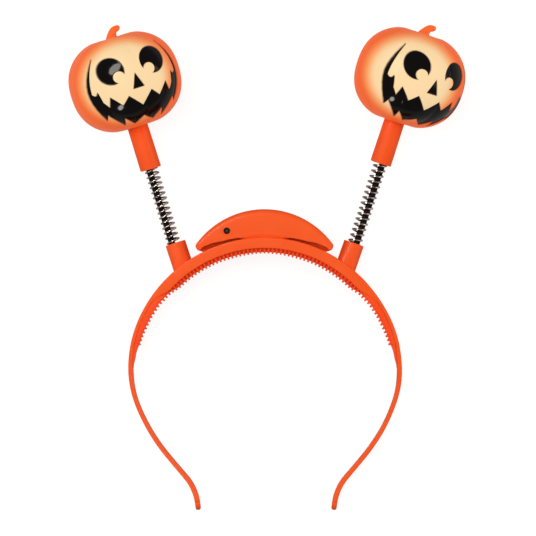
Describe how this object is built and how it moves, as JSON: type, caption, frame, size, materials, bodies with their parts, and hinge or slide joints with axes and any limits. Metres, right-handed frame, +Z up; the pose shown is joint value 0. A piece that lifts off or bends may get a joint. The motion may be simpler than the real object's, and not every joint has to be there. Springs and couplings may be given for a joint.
{
  "type": "light-up pumpkin headband",
  "caption": "Costume headband of orange plastic with a crescent battery case on its crown and glowing jack-o'-lantern pumpkins that sway on coil springs.",
  "frame": {"origin": "middle of the bounding box's bottom, on the surface that the headband lies on", "axes": "+X to the wearer's left side as the picture shows it, +Y from the leg tips to the pumpkins, +Z up out of the surface, to the faces' side"},
  "size_m": [0.197, 0.2402, 0.0556],
  "materials": {
    "orange_plastic": "satin-gloss moulded orange plastic",
    "comb_plastic": "satin moulded orange plastic, a little deeper in colour",
    "black_plastic": "black push button",
    "spring_steel": "drawn steel wire",
    "black_lead": "black insulated lead",
    "lamp_lens": "small warm lamp",
    "glowing_shell": "translucent shell lit from inside, cream at the face and orange at the sides, with a black face"
  },
  "bodies": {
    "headband": {"band": "orange_plastic", "comb_strip": "comb_plastic", "battery_case": "orange_plastic", "left_spring": "spring_steel", "left_lead": "black_lead", "right_spring": "spring_steel", "right_lead": "black_lead"},
    "left_bopper": {"left_sleeve": "orange_plastic", "left_lamp": "lamp_lens", "left_pumpkin": "glowing_shell"},
    "right_bopper": {"right_sleeve": "orange_plastic", "right_lamp": "lamp_lens", "right_pumpkin": "glowing_shell"},
    "button": {"switch_button": "black_plastic"}
  },
  "joints": [
    {"name": "left_sway", "type": "hinge", "parent": "headband", "child": "left_bopper", "pos_m": [-0.05169, 0.03108, 0.01718], "axis": [0, 0, 1], "range_deg": [-30, 30], "stiffness_Nm_per_rad": 0.04, "deforming": ["left_spring", "left_lead"]},
    {"name": "right_sway", "type": "hinge", "parent": "headband", "child": "right_bopper", "pos_m": [0.05058, 0.03242, 0.01733], "axis": [0, 0, 1], "range_deg": [-30, 30], "stiffness_Nm_per_rad": 0.04, "deforming": ["right_spring", "right_lead"]},
    {"name": "button_press", "type": "slide", "parent": "headband", "child": "button", "axis": [0, 0.0882, -0.9961], "range_m": [0, 0.0005], "stiffness_N_per_m": 40}
  ]
}
